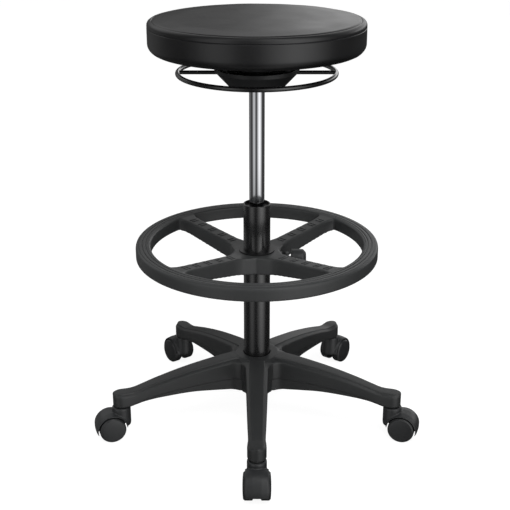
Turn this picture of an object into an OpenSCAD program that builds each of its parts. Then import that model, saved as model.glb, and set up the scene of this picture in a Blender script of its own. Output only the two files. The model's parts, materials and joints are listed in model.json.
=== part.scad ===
// Drafting stool: round padded seat on a gas lift, foot ring on the column,
// five-arm base on twin-wheel casters. The origin is on the floor, on the column's axis.

/* [Seat] */
// Diameter of the seat
seat_d = 380; // [340:5:420]
// Height of the top of the seat at full extension
seat_top = 775; // [760:5:800]
// Thickness of the seat, board included
seat_h = 55; // [45:1:70]
// Radius of the rounded lower edge
seat_low_round = 16; // [8:1:20]
// Radius of the rounded upper edge
seat_top_round = 7; // [4:1:12]
// Thickness of the plywood board
board_h = 12; // [9:1:15]
// Thickness of the vinyl cover
cover_t = 1.2; // [0.8:0.1:2]

/* [Gas lift] */
// Diameter of the chrome pressure tube
pressure_d = 28; // [26:1:28]
// Diameter of the outer tube
column_d = 50; // [48:1:52]
// Wall of the outer tube
column_wall = 2; // [1.5:0.5:3]
// Height of the top of the outer tube
column_top = 440; // [430:1:450]
// Stroke of the gas lift
stroke = 200; // [120:10:200]

/* [Release ring] */
// Diameter of the ring, between rod centres
release_ring_d = 278; // [260:1:290]
// Diameter of the rod of the ring
release_rod_d = 8.5; // [7:0.5:10]
// Diameter of the cross bar
cross_bar_d = 7; // [6:0.5:8]
// Height of the ring under the seat plate
release_drop = 35; // [33:1:36]

/* [Foot ring] */
// Outer diameter of the foot ring
foot_ring_d = 450; // [420:5:480]
// Width of the foot ring's tread
foot_ring_w = 28; // [24:1:32]
// Height of the foot ring's wall
foot_ring_h = 25; // [22:1:30]
// Height of the foot ring's top above the floor
foot_ring_top = 366; // [355:1:375]
// How far the hub lies below the foot ring's top
hub_dish = 18; // [10:1:20]
// Width of a spoke
spoke_w = 28; // [24:1:32]

/* [Base] */
// Radius of the circle of caster stems
stem_circle_r = 270; // [250:5:290]
// Width of an arm at its root
arm_root_w = 42; // [38:1:46]
// Width of an arm at its tip
arm_tip_w = 34; // [32:1:38]
// Wall thickness of the hollow arms
arm_wall = 4; // [3:0.5:6]

/* [Casters] */
// Diameter of a wheel
wheel_d = 50; // [48:1:52]
// Width over both wheels
caster_w = 50; // [46:1:54]
// Distance from the stem to the axle
caster_trail = 21; // [20:1:25]
// Diameter of the stem
stem_d = 11; // [10:0.5:12]

/* [Hidden] */
$fn = 64;

// Running clearance between a shaft and its bore, on the radius
run_gap = 0.05;
// Overlap that makes a cut clean
cut = 1;

// Heights of the seat's layers, worked down from the top
seat_bottom = seat_top - seat_h;
cloth_t = 0.8;
plate_t = 3;
board_low = seat_bottom + cloth_t;
board_top = board_low + board_h;
plate_low = seat_bottom - plate_t;
board_r = seat_d / 2 - 18;
cover_turn_in = 16;
tee_flange_r = 9;
tee_flange_t = 1.2;
bolt_head_r = 5.6;
bolt_head_h = 4.6;
bolt_flange_r = 7.5;
staple_w = 10;
staple_wire = 1.2;
staple_t = 0.6;

// Gas lift, from the floor up
column_r = column_d / 2;
column_in_r = column_r - column_wall;
column_low = 74;
column_taper_top = 130;
column_taper = 1;
column_floor_t = 3;
pressure_r = pressure_d / 2;
pressure_in_r = pressure_r - 2.5;
// Room for the bump stop and the folded lift below the stroke
lift_foot_room = 98;
pressure_low = column_low + lift_foot_room + stroke;
lift_top = plate_low - 13;
taper_low = lift_top - 46;
taper_small_r = pressure_r - 0.9;
lift_head_h = 14;
valve_h = 22;
gland_h = 24;
bush_top = column_top - 5;
bush_h = 94;
rod_r = 5;
bearing_low = column_low + column_floor_t;
race_t = 2;
race_r = 12;
ball_r = 2.4;
washer_low = bearing_low + race_t + 2 * ball_r + run_gap;
collar_low = washer_low + race_t;
collar_h = 4;
piston_low = pressure_low + gland_h + 4;
piston_h = 12;
bump_h = 30;

// Release mechanism, hung from the plate
button_r = 4.5;
yoke_t = 3.6;
yoke_low = plate_low - 0.4 - yoke_t;
yoke_reach = 28.6;
yoke_leg_x = 29;
yoke_leg_t = 3;
release_z = plate_low - release_drop;
release_r = release_ring_d / 2;
cross_bar_r = cross_bar_d / 2;
socket_r = 20;
web_z = plate_low - 28;
channel_x = 26;
channel_y = 33;
bolt_spread = 60;
bolt_r = 3;
cover_low = taper_low;
cover_low_r = 49;
cover_shoulder_r = 73;
cover_rim_r = 75;
cover_shoulder = release_z + 1.5;
cover_rim = release_z + 9;
cover_wall = 2.5;
post_circle_r = 62;
post_r = 5;
post_angles = [90, 210, 330];
screw_r = 1.75;
screw_head_r = 2.2;
screw_len = 17;
plate_half = 75;
plate_corner_r = 12;
notch_gap = 4;

// Foot ring
foot_r = foot_ring_d / 2;
foot_in_r = foot_r - foot_ring_w;
foot_low = foot_ring_top - foot_ring_h;
foot_wall = 4;
foot_hub_r = 42;
foot_hub_top = foot_ring_top - hub_dish;
foot_hub_h = 33;
foot_hub_low = foot_hub_top - foot_hub_h;
foot_bore_r = 29;
bush_flange_r = 33;
bush_flange_t = 2;
spoke_angles = [45, 135, 225, 315];
clamp_z = foot_hub_low + foot_hub_h / 2;
boss_r = 12;
boss_end = 60;
stud_r = 4;
nut_x = 47;
nut_t = 6.5;
nut_r = 7.5;
nut_gap = 0.1;
pad_end = 33;
knob_x = 64;
knob_len = 28;
knob_r = 17;
knob_round = 5;
stud_end = knob_x + knob_len - 12;

// Base: side profile of an arm, as [distance from the axis, height]
hub_r = 50;
hub_top = 137;
hub_low = 72;
hub_core_r = 32;
arm_tip_low = 66;
// The round tip of an arm is centred a little inside its stem
arm_tip_x = stem_circle_r - 2;
arm_shoulder = 8;
arm_strip_inset = 6;
arm_upper = [[0, 137], [45, 137], [89, 131], [138, 123], [199, 108.5], [240, 97], [262, 93.5], [292, 93.5]];
arm_lower = [[292, 66], [252, 66], [242, 69.5], [207, 76], [150, 79], [89, 76], [38, 72], [0, 72]];
cavity_from = 28;
cavity_to = stem_circle_r - 27;
rib_places = [90, 128, 166, 204];
rib_t = 3;
socket_depth = 22;

// Casters
wheel_r = wheel_d / 2;
stem_r = stem_d / 2;
wheel_in = 7;
wheel_out = caster_w / 2;
axle_r = 3;
axle_reach = wheel_out - 4;
hood_top = arm_tip_low - 1.6;
hood_cavity_r = wheel_r + 1.5;
hood_crown_r = wheel_r + 5;
hood_edge_r = wheel_r + 3.6;
hood_half_w = caster_w / 2 - 4;
hood_neck_r = 17.5;
hood_low = 19;
hood_web = 3;
stem_boss_r = 6.5;
stem_pin_r = 4;
stem_low = 34;
stem_collar_r = 9;
axle_boss_r = 7;
side_gap = 0.3;
ring_groove_z = arm_tip_low + 12;
ring_groove_h = 4;
ring_groove_depth = 0.9;

// ---------- shapes that repeat ----------

// Tube standing on its lower face
module tube(r_out, r_in, h) {
    difference() {
        cylinder(r = r_out, h = h);
        translate([0, 0, -cut]) cylinder(r = r_in, h = h + 2 * cut);
    }
}

// Child copied to a list of angles at one radius
module around(angles, radius) {
    for (a = angles) rotate([0, 0, a]) translate([radius, 0, 0]) children();
}

// Angles of n equal steps round a circle
function steps(n, from = 0) = [for (i = [0 : n - 1]) from + i * 360 / n];

// Points of a quarter turn, from one angle to another
function arc(cx, cy, r, from, to, n = 8) =
    [for (i = [0 : n]) let (a = from + (to - from) * i / n) [cx + r * cos(a), cy + r * sin(a)]];

// Cylinder lying along X
module rod_x(r, from, to) {
    translate([from, 0, 0]) rotate([0, 90, 0]) cylinder(r = r, h = to - from);
}

// Cylinder lying along Y
module rod_y(r, from, to) {
    translate([0, from, 0]) rotate([-90, 0, 0]) cylinder(r = r, h = to - from);
}

// Solid turned about the Y axis, from points of [radius, y]
module turned_y(points) {
    rotate([-90, 0, 0]) rotate_extrude() polygon(points);
}

// ---------- base ----------

// Plan of an arm, narrower towards its round tip
module arm_plan(inset) {
    root = arm_root_w / 2 - inset;
    tip = arm_tip_w / 2 - inset;
    polygon([[0, -root], [arm_tip_x, -tip], [arm_tip_x, tip], [0, root]]);
    translate([arm_tip_x, 0]) circle(r = tip);
}

// Side profile of an arm, lowered at the top and raised at the bottom
module arm_side(top_drop, low_rise) {
    upper = [for (p = arm_upper) [p[0], p[1] - top_drop]];
    lower = [for (p = arm_lower) [p[0], p[1] + low_rise]];
    polygon(concat(upper, lower));
}

// An arm's solid, where the side profile meets the plan
module arm_solid(inset, top_drop, low_rise) {
    intersection() {
        linear_extrude(hub_top + cut) arm_plan(inset);
        rotate([90, 0, 0]) translate([0, 0, -arm_root_w])
            linear_extrude(2 * arm_root_w) arm_side(top_drop, low_rise);
    }
}

// Hollow under an arm, with its cross ribs left standing
module arm_cavity() {
    difference() {
        intersection() {
            arm_solid(arm_wall, arm_shoulder + arm_wall, -arm_root_w);
            translate([cavity_from, -arm_root_w, 0])
                cube([cavity_to - cavity_from, 2 * arm_root_w, hub_top]);
        }
        for (x = rib_places) translate([x, -arm_root_w, 0]) cube([rib_t, 2 * arm_root_w, hub_top]);
    }
}

module star_base() {
    color("#2b2b2d") difference() {
        union() {
            difference() {
                union() {
                    translate([0, 0, hub_low]) cylinder(r = hub_r, h = hub_top - hub_low - arm_shoulder);
                    around(steps(5, -90), 0) arm_solid(0, arm_shoulder, 0);
                    around(steps(5, -90), 0) arm_solid(arm_strip_inset, 0, 0);
                    translate([0, 0, hub_low])
                        cylinder(r = hub_r - arm_strip_inset, h = hub_top - hub_low);
                }
                around(steps(5, -90), 0) arm_cavity();
            }
            translate([0, 0, hub_low]) cylinder(r = hub_core_r, h = hub_top - hub_low);
        }
        column_seat();
        around(steps(5, -90), stem_circle_r)
            translate([0, 0, arm_tip_low - cut]) cylinder(r = stem_r + run_gap, h = socket_depth + cut);
    }
}

// Tapered seat for the outer tube, open at both ends
module column_seat() {
    translate([0, 0, hub_low - cut]) cylinder(r = column_r - column_taper, h = column_low - hub_low + cut);
    translate([0, 0, column_low])
        cylinder(r1 = column_r - column_taper, r2 = column_r, h = column_taper_top - column_low);
    translate([0, 0, column_taper_top]) cylinder(r = column_r, h = hub_top - column_taper_top + cut);
}

// Split spring ring in the groove of each stem
module grip_rings() {
    color("#b9bcc0") around(steps(5, -90), stem_circle_r) difference() {
        translate([0, 0, ring_groove_z + 0.2])
            tube(stem_r + run_gap, stem_r - ring_groove_depth + run_gap, ring_groove_h - 0.4);
        translate([0, -0.5, ring_groove_z]) cube([stem_d, 1, ring_groove_h]);
    }
}

// ---------- gas lift ----------

module outer_tube() {
    color("#101012") difference() {
        union() {
            translate([0, 0, column_low])
                cylinder(r1 = column_r - column_taper, r2 = column_r, h = column_taper_top - column_low);
            translate([0, 0, column_taper_top]) rotate_extrude() polygon(concat(
                [[0, 0], [column_r, 0]],
                arc(column_r - 1.2, column_top - column_taper_top - 1.2, 1.2, 0, 90, 4),
                [[0, column_top - column_taper_top]]
            ));
        }
        translate([0, 0, column_low + column_floor_t])
            cylinder(r1 = column_in_r - column_taper, r2 = column_in_r,
                h = column_taper_top - column_low - column_floor_t);
        translate([0, 0, column_taper_top])
            cylinder(r = column_in_r, h = column_top - column_taper_top + cut);
        translate([0, 0, column_low - cut]) cylinder(r = rod_r + run_gap, h = column_floor_t + 2 * cut);
    }
}

module guide_bush() {
    color("#1c1c1e") translate([0, 0, bush_top - bush_h])
        tube(column_in_r, pressure_r + run_gap, bush_h);
}

// Lower race and its ring of balls
module thrust_bearing() {
    color("#c4c6ca") {
        translate([0, 0, bearing_low]) tube(race_r, rod_r + run_gap, race_t);
        around(steps(10), (race_r + rod_r) / 2)
            translate([0, 0, bearing_low + race_t + ball_r]) sphere(r = ball_r, $fn = 16);
    }
}

module retaining_clip() {
    color("#9a9da2") translate([0, 0, column_low - 1.6]) difference() {
        tube(9, rod_r - 0.6, 1.4);
        translate([0, -2, -cut]) cube([12, 4, 4]);
    }
}

module bearing_washer() {
    color("#c4c6ca") translate([0, 0, washer_low]) tube(race_r, rod_r, race_t);
}

// Rod with its collar, the clip groove at its foot and the piston on its head
module piston_rod() {
    color("#d0d2d6") {
        difference() {
            translate([0, 0, column_low - 5]) cylinder(r = rod_r, h = piston_low - column_low + 5);
            translate([0, 0, column_low - 1.8]) tube(rod_r + cut, rod_r - 0.7, 1.8);
        }
        translate([0, 0, collar_low]) cylinder(r = 8, h = collar_h);
        translate([0, 0, piston_low]) difference() {
            cylinder(r = pressure_in_r - run_gap, h = piston_h);
            translate([0, 0, 4]) tube(pressure_in_r + cut, pressure_in_r - 2, 3);
        }
    }
}

module piston_seal() {
    color("#151515") translate([0, 0, piston_low + 4.1])
        tube(pressure_in_r - 0.02, pressure_in_r - 2, 2.8);
}

module bump_stop() {
    color("#202020") translate([0, 0, collar_low + collar_h]) tube(17, rod_r, bump_h);
}

module pressure_tube() {
    color("#e4e6e9") difference() {
        union() {
            translate([0, 0, pressure_low]) cylinder(r = pressure_r, h = taper_low - pressure_low);
            translate([0, 0, taper_low])
                cylinder(r1 = pressure_r, r2 = taper_small_r, h = lift_top - taper_low);
        }
        translate([0, 0, pressure_low - cut])
            cylinder(r = pressure_in_r, h = lift_top - lift_head_h - pressure_low + cut);
        translate([0, 0, lift_top - lift_head_h - cut])
            cylinder(r = button_r + run_gap, h = lift_head_h + 2 * cut);
    }
}

// Seal and guide at the foot of the pressure tube
module rod_gland() {
    color("#2a2a2a") translate([0, 0, pressure_low]) tube(pressure_in_r, rod_r + run_gap, gland_h);
}

module valve_block() {
    color("#b08d57") translate([0, 0, lift_top - lift_head_h - valve_h])
        difference() {
            cylinder(r = pressure_in_r, h = valve_h);
            translate([0, 0, valve_h / 2]) cylinder(r = button_r + run_gap, h = valve_h);
        }
}

// Pin that opens the valve, with a domed head under the yoke
module release_button() {
    foot = lift_top - lift_head_h - 6;
    dome = 12;
    color("#303236") intersection() {
        translate([0, 0, foot]) cylinder(r = button_r, h = yoke_low - foot + cut);
        translate([0, 0, foot - dome]) cylinder(r = dome, h = yoke_low - foot);
        union() {
            translate([0, 0, yoke_low - run_gap - dome]) sphere(r = dome);
            translate([0, 0, foot - cut]) cylinder(r = dome, h = yoke_low - foot - dome / 2);
        }
    }
}

// ---------- seat mechanism ----------

module taper_socket() {
    color("#1a1a1c") difference() {
        translate([0, 0, taper_low]) cylinder(r = socket_r, h = lift_top - taper_low);
        translate([0, 0, taper_low])
            cylinder(r1 = pressure_r, r2 = taper_small_r, h = lift_top - taper_low);
    }
}

// Pressed plate with the dropped channel that holds the socket
module mechanism_plate() {
    color("#1a1a1c") difference() {
        union() {
            translate([0, 0, plate_low]) linear_extrude(plate_t)
                offset(r = plate_corner_r, $fn = 32)
                    square(2 * (plate_half - plate_corner_r), center = true);
            for (low_y = [-channel_y - plate_t, channel_y]) translate([-channel_x, low_y, web_z])
                cube([2 * channel_x, plate_t, plate_low - web_z + cut]);
            translate([-channel_x, -channel_y - plate_t, web_z])
                cube([2 * channel_x, 2 * (channel_y + plate_t), plate_t]);
        }
        translate([0, 0, web_z - cut]) cylinder(r = socket_r, h = plate_t + 2 * cut);
        for (x = [-1, 1], y = [-1, 1]) translate([x * bolt_spread, y * bolt_spread, plate_low - cut])
            cylinder(r = bolt_r + 0.3, h = plate_t + 2 * cut);
        around(post_angles, post_circle_r) translate([0, 0, plate_low - cut])
            cylinder(r = screw_head_r, h = plate_t + 2 * cut);
    }
}

// Bell-shaped cover with its three posts and the notches for the cross bar
module mechanism_cover() {
    color("#222224") difference() {
        union() {
            rotate_extrude() polygon([
                [socket_r + 0.3, cover_low], [cover_low_r, cover_low], [cover_shoulder_r, cover_shoulder],
                [cover_rim_r, cover_shoulder + 1], [cover_rim_r, cover_rim],
                [cover_rim_r - cover_wall, cover_rim], [cover_rim_r - cover_wall, cover_shoulder + 2],
                [cover_low_r - 1, cover_low + cover_wall], [socket_r + 0.3, cover_low + cover_wall]
            ]);
            intersection() {
                around(post_angles, post_circle_r) translate([0, 0, cover_low])
                    cylinder(r = post_r, h = plate_low - cover_low);
                rotate_extrude() polygon([
                    [0, cover_low], [cover_low_r, cover_low], [cover_shoulder_r, cover_shoulder],
                    [cover_rim_r, cover_shoulder + 1], [cover_rim_r, plate_low], [0, plate_low]
                ]);
            }
        }
        around(post_angles, post_circle_r) translate([0, 0, plate_low - screw_len - cut])
            cylinder(r = screw_r, h = screw_len + 3 * cut);
        for (side = [0, 180]) rotate([0, 0, side])
            translate([cover_low_r, -cross_bar_r - notch_gap, release_z - cross_bar_r - 3.4])
                cube([cover_rim_r, cross_bar_d + 2 * notch_gap, plate_low]);
    }
}

module cover_screws() {
    color("#8d9096") around(post_angles, post_circle_r) {
        translate([0, 0, plate_low - screw_len]) cylinder(r = screw_r, h = screw_len + plate_t - 0.1);
        translate([0, 0, plate_low]) cylinder(r = screw_head_r, h = plate_t - 0.1);
    }
}

// Stirrup over the button, whose ends carry the cross bar
module release_yoke() {
    leg_low = release_z - cross_bar_r - 2;
    color("#4a4c50") {
        translate([-yoke_leg_x - yoke_leg_t, -yoke_reach, yoke_low])
            cube([2 * (yoke_leg_x + yoke_leg_t), 2 * yoke_reach, yoke_t]);
        for (side = [-1, 1])
            translate([side * (yoke_leg_x + yoke_leg_t / 2) - yoke_leg_t / 2, -9, leg_low])
                cube([yoke_leg_t, 18, yoke_low - leg_low + cut]);
    }
}

module release_ring() {
    color("#0e0e10") translate([0, 0, release_z]) {
        rotate_extrude($fn = 96) translate([release_r, 0]) circle(r = release_rod_d / 2, $fn = 24);
        rod_x(cross_bar_r, yoke_leg_x + yoke_leg_t, release_r);
        rod_x(cross_bar_r, -release_r, -yoke_leg_x - yoke_leg_t);
    }
}

// ---------- seat ----------

module seat_board() {
    color("#c39a6b") difference() {
        translate([0, 0, board_low]) cylinder(r = board_r, h = board_h, $fn = 96);
        for (x = [-1, 1], y = [-1, 1]) translate([x * bolt_spread, y * bolt_spread, board_low - cut])
            cylinder(r = bolt_r + 1, h = board_h + 2 * cut);
        around(post_angles, post_circle_r) translate([0, 0, board_low - cut]) cylinder(r = 4, h = 3 + cut);
    }
}

// Flanged nuts let into the top of the board
module tee_nuts() {
    color("#b5b8bd") for (x = [-1, 1], y = [-1, 1])
        translate([x * bolt_spread, y * bolt_spread, board_top - 8]) {
            tube(bolt_r + 1, bolt_r, 8);
            translate([0, 0, 8]) tube(tee_flange_r, bolt_r, tee_flange_t);
        }
}

module seat_bolts() {
    color("#8d9096") for (x = [-1, 1], y = [-1, 1])
        translate([x * bolt_spread, y * bolt_spread, 0]) {
            translate([0, 0, plate_low]) cylinder(r = bolt_r, h = board_top - plate_low - 1);
            translate([0, 0, plate_low - bolt_head_h])
                cylinder(r = bolt_head_r, h = bolt_head_h, $fn = 6);
            translate([0, 0, plate_low - 1]) cylinder(r = bolt_flange_r, h = 1);
        }
}

// Outline of the upholstered seat, drawn in by a thickness
function seat_outline(t) = concat(
    [[0, seat_bottom + t], [seat_d / 2 - seat_low_round, seat_bottom + t]],
    arc(seat_d / 2 - seat_low_round, seat_bottom + seat_low_round, seat_low_round - t, -90, 0, 8),
    arc(seat_d / 2 - seat_top_round, seat_top - seat_top_round, seat_top_round - t, 0, 90, 6),
    [[0, seat_top - t]]
);

module foam_pad() {
    color("#c9b46a") difference() {
        rotate_extrude($fn = 96) polygon(seat_outline(cover_t));
        translate([0, 0, seat_bottom - cut])
            cylinder(r = board_r, h = board_top - seat_bottom + cut, $fn = 96);
        for (x = [-1, 1], y = [-1, 1]) translate([x * bolt_spread, y * bolt_spread, board_top - cut])
            cylinder(r = tee_flange_r + 0.5, h = 3);
    }
}

// Vinyl skin, turned in under the edge of the board
module seat_cover() {
    color("#1b1c1e") difference() {
        rotate_extrude($fn = 96) polygon(seat_outline(0));
        rotate_extrude($fn = 96) polygon(seat_outline(cover_t));
        translate([0, 0, seat_bottom - cut]) cylinder(r = board_r - cover_turn_in, h = 6, $fn = 96);
        translate([0, 0, board_low]) cylinder(r = board_r, h = 6, $fn = 96);
    }
}

// Dust cloth under the board, between the turned-in edges of the cover
module under_cloth() {
    color("#2a2a2c") difference() {
        translate([0, 0, seat_bottom]) cylinder(r = board_r - cover_turn_in - 0.2, h = cloth_t, $fn = 96);
        for (x = [-1, 1], y = [-1, 1]) translate([x * bolt_spread, y * bolt_spread, seat_bottom - cut])
            cylinder(r = bolt_r + 1, h = 4);
        around(post_angles, post_circle_r) translate([0, 0, seat_bottom - cut]) cylinder(r = 4, h = 4);
    }
}

module cover_staples() {
    color("#a7aab0") around(steps(24), board_r - cover_turn_in / 2)
        translate([-staple_wire / 2, -staple_w / 2, seat_bottom - staple_t])
            cube([staple_wire, staple_w, staple_t]);
}

// ---------- foot ring ----------

// Two flanged bushes, one in each end of the hub, clear of the pressure pad
module column_bushes() {
    bush_len = foot_hub_h / 2 - 6;
    color("#3a3b3d") {
        translate([0, 0, foot_hub_top - bush_len]) tube(foot_bore_r - run_gap, column_r + run_gap, bush_len);
        translate([0, 0, foot_hub_top + 0.1])
            tube(bush_flange_r, column_r + run_gap, bush_flange_t);
        translate([0, 0, foot_hub_top - cut])
            tube(foot_bore_r - run_gap, column_r + run_gap, 2 * cut);
        translate([0, 0, foot_hub_low]) tube(foot_bore_r - run_gap, column_r + run_gap, bush_len);
        translate([0, 0, foot_hub_low - cut])
            tube(foot_bore_r - run_gap, column_r + run_gap, 2 * cut);
        translate([0, 0, foot_hub_low - 0.1 - bush_flange_t])
            tube(bush_flange_r, column_r + run_gap, bush_flange_t);
    }
}

// Side profile of a spoke that dips from the rim to the hub
module spoke_side(top_drop, low_rise) {
    rim = foot_in_r + 2;
    polygon([
        [foot_bore_r, foot_hub_top - top_drop], [foot_hub_r, foot_hub_top - top_drop],
        [rim, foot_ring_top - 1 - top_drop], [rim, foot_low + low_rise],
        [foot_hub_r, foot_hub_low + low_rise], [foot_bore_r, foot_hub_low + low_rise]
    ]);
}

module foot_ring() {
    half = spoke_w / 2;
    color("#2e2e30") difference() {
        union() {
            rotate_extrude($fn = 128) polygon([
                [foot_in_r, foot_low], [foot_in_r, foot_ring_top - 1.5], [foot_in_r + 1.5, foot_ring_top],
                [foot_r - 3, foot_ring_top], [foot_r, foot_ring_top - 3], [foot_r, foot_low],
                [foot_r - foot_wall, foot_low], [foot_r - foot_wall, foot_ring_top - foot_wall - 1],
                [foot_in_r + foot_wall, foot_ring_top - foot_wall - 1], [foot_in_r + foot_wall, foot_low]
            ]);
            difference() {
                around(spoke_angles, 0) rotate([90, 0, 0]) translate([0, 0, -half])
                    linear_extrude(spoke_w) spoke_side(0, 0);
                around(spoke_angles, 0) rotate([90, 0, 0]) translate([0, 0, foot_wall - half])
                    linear_extrude(spoke_w - 2 * foot_wall) spoke_side(foot_wall, -foot_hub_h);
            }
            translate([0, 0, foot_hub_low]) cylinder(r = foot_hub_r, h = foot_hub_h);
            translate([0, 0, clamp_z]) rod_x(boss_r, foot_bore_r + 4, boss_end);
        }
        translate([0, 0, foot_hub_low - cut]) cylinder(r = foot_bore_r, h = foot_hub_h + 2 * cut);
        translate([0, 0, clamp_z]) rod_x(stud_r + run_gap, 0, boss_end + cut);
        translate([nut_x, 0, clamp_z]) nut_pocket();
    }
}

// Slot that takes the nut from above, with a pointed floor that stops it turning
module nut_pocket() {
    across = nut_r * cos(30) + nut_gap;
    rotate([90, 0, 90]) linear_extrude(nut_t + 2 * nut_gap) polygon([
        [across, boss_r + cut], [across, -nut_r / 2], [0, -nut_r - nut_gap],
        [-across, -nut_r / 2], [-across, boss_r + cut]
    ]);
}

module clamp_nut() {
    color("#b5b8bd") translate([nut_x, 0, clamp_z]) rotate([0, 90, 0]) difference() {
        cylinder(r = nut_r, h = nut_t, $fn = 6);
        translate([0, 0, -cut]) cylinder(r = stud_r + run_gap, h = nut_t + 2 * cut);
    }
}

module pressure_pad() {
    color("#b08d57") translate([0, 0, clamp_z]) rod_x(stud_r - 0.2, column_r + 0.1, pad_end);
}

module clamp_stud() {
    color("#b5b8bd") translate([0, 0, clamp_z]) rod_x(stud_r, pad_end, stud_end);
}

// Smooth knob with a rounded end, moulded onto the stud
module clamp_knob() {
    color("#262628") translate([0, 0, clamp_z]) difference() {
        rotate([0, 90, 0]) rotate_extrude() polygon(concat(
            [[0, knob_x], [knob_r - 1, knob_x], [knob_r, knob_x + 1]],
            arc(knob_r - knob_round, knob_x + knob_len - knob_round, knob_round, 0, 80, 6),
            [[0, knob_x + knob_len]]
        ));
        rod_x(stud_r, knob_x - cut, stud_end);
    }
}

// ---------- casters ----------

// Child moved to the stem of one arm, trailing outwards
module at_arm(i) {
    rotate([0, 0, -90 + 72 * i]) translate([stem_circle_r, 0, 0]) children();
}

// Child moved to the axle of a caster
module at_axle() {
    translate([caster_trail, 0, wheel_r]) children();
}

// Hood: swivel neck, fender over both wheels and the web that holds the axle
module caster_hood() {
    color("#2a2a2c") difference() {
        union() {
            difference() {
                union() {
                    rotate([0, 0, 90]) translate([0, 0, hood_low])
                        cylinder(r = hood_neck_r, h = hood_top - hood_low);
                    intersection() {
                        at_axle() turned_y([
                            [0, -hood_half_w], [hood_edge_r, -hood_half_w], [hood_crown_r, -10],
                            [hood_crown_r, 10], [hood_edge_r, hood_half_w], [0, hood_half_w]
                        ]);
                        translate([0, -caster_w, hood_low]) cube([4 * caster_trail, 2 * caster_w, hood_top]);
                    }
                }
                at_axle() rod_y(hood_cavity_r, hood_web, caster_w);
                at_axle() rod_y(hood_cavity_r, -caster_w, -hood_web);
            }
            translate([0, 0, hood_low]) cylinder(r = stem_boss_r, h = hood_top - hood_low);
            at_axle() rod_y(axle_boss_r, -wheel_in + side_gap, wheel_in - side_gap);
        }
        translate([0, 0, stem_low]) cylinder(r = stem_pin_r, h = hood_top);
        at_axle() rod_y(axle_r, -caster_w, caster_w);
    }
}

// Steel stem: shank with its ring groove, collar and the pin fixed in the hood
module caster_stem() {
    color("#b9bcc0") difference() {
        union() {
            translate([0, 0, stem_low]) cylinder(r = stem_pin_r, h = hood_top - stem_low);
            translate([0, 0, hood_top]) cylinder(r = stem_collar_r, h = arm_tip_low - hood_top - 0.1);
            translate([0, 0, hood_top]) cylinder(r = stem_r, h = arm_tip_low + socket_depth - 1 - hood_top);
        }
        translate([0, 0, ring_groove_z]) tube(stem_r + cut, stem_r - ring_groove_depth, ring_groove_h);
    }
}

module caster_axle() {
    color("#b9bcc0") at_axle() rod_y(axle_r, -axle_reach, axle_reach);
}

// Wheel: tread, web, hub and a domed outer face, on one side of the hood
module caster_wheel(side) {
    hub = 7;
    rim = wheel_r - 4;
    color("#18181a") at_axle() scale([1, side, 1]) turned_y(concat(
        [[axle_r + run_gap, wheel_in], [hub, wheel_in], [hub, wheel_out - 6], [rim, wheel_out - 6],
        [rim, wheel_in], [wheel_r - 1, wheel_in], [wheel_r, wheel_in + 1]],
        arc(wheel_r - 2.5, wheel_out - 4.5, 2.5, 0, 70, 5),
        [[wheel_r - 8, wheel_out - 1], [wheel_r - 14, wheel_out - 0.3], [0, wheel_out],
        [0, axle_reach + 0.1], [axle_r + run_gap, axle_reach + 0.1]]
    ));
}

// ---------- nodes ----------

star_base();
grip_rings();
outer_tube();
guide_bush();
thrust_bearing();
retaining_clip();
bearing_washer();
piston_rod();
piston_seal();
bump_stop();
pressure_tube();
rod_gland();
valve_block();
release_button();
taper_socket();
mechanism_plate();
mechanism_cover();
cover_screws();
release_yoke();
release_ring();
seat_board();
tee_nuts();
seat_bolts();
foam_pad();
seat_cover();
under_cloth();
cover_staples();
column_bushes();
foot_ring();
clamp_nut();
pressure_pad();
clamp_stud();
clamp_knob();
at_arm(0) caster_hood();  // front_hood
at_arm(0) caster_stem();  // front_stem
at_arm(0) caster_axle();  // front_axle
at_arm(0) caster_wheel(-1);  // front_left_wheel
at_arm(0) caster_wheel(1);  // front_right_wheel
at_arm(1) caster_hood();  // right_hood
at_arm(1) caster_stem();  // right_stem
at_arm(1) caster_axle();  // right_axle
at_arm(1) caster_wheel(-1);  // right_left_wheel
at_arm(1) caster_wheel(1);  // right_right_wheel
at_arm(2) caster_hood();  // rear_right_hood
at_arm(2) caster_stem();  // rear_right_stem
at_arm(2) caster_axle();  // rear_right_axle
at_arm(2) caster_wheel(-1);  // rear_right_left_wheel
at_arm(2) caster_wheel(1);  // rear_right_right_wheel
at_arm(3) caster_hood();  // rear_left_hood
at_arm(3) caster_stem();  // rear_left_stem
at_arm(3) caster_axle();  // rear_left_axle
at_arm(3) caster_wheel(-1);  // rear_left_left_wheel
at_arm(3) caster_wheel(1);  // rear_left_right_wheel
at_arm(4) caster_hood();  // left_hood
at_arm(4) caster_stem();  // left_stem
at_arm(4) caster_axle();  // left_axle
at_arm(4) caster_wheel(-1);  // left_left_wheel
at_arm(4) caster_wheel(1);  // left_right_wheel
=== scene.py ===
"""Drafting stool: seat, moulded base and foot ring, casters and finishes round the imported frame."""
import json
import math
import random
import bmesh
import bpy
from mathutils import Matrix, Vector, noise
from mathutils.kdtree import KDTree


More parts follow.
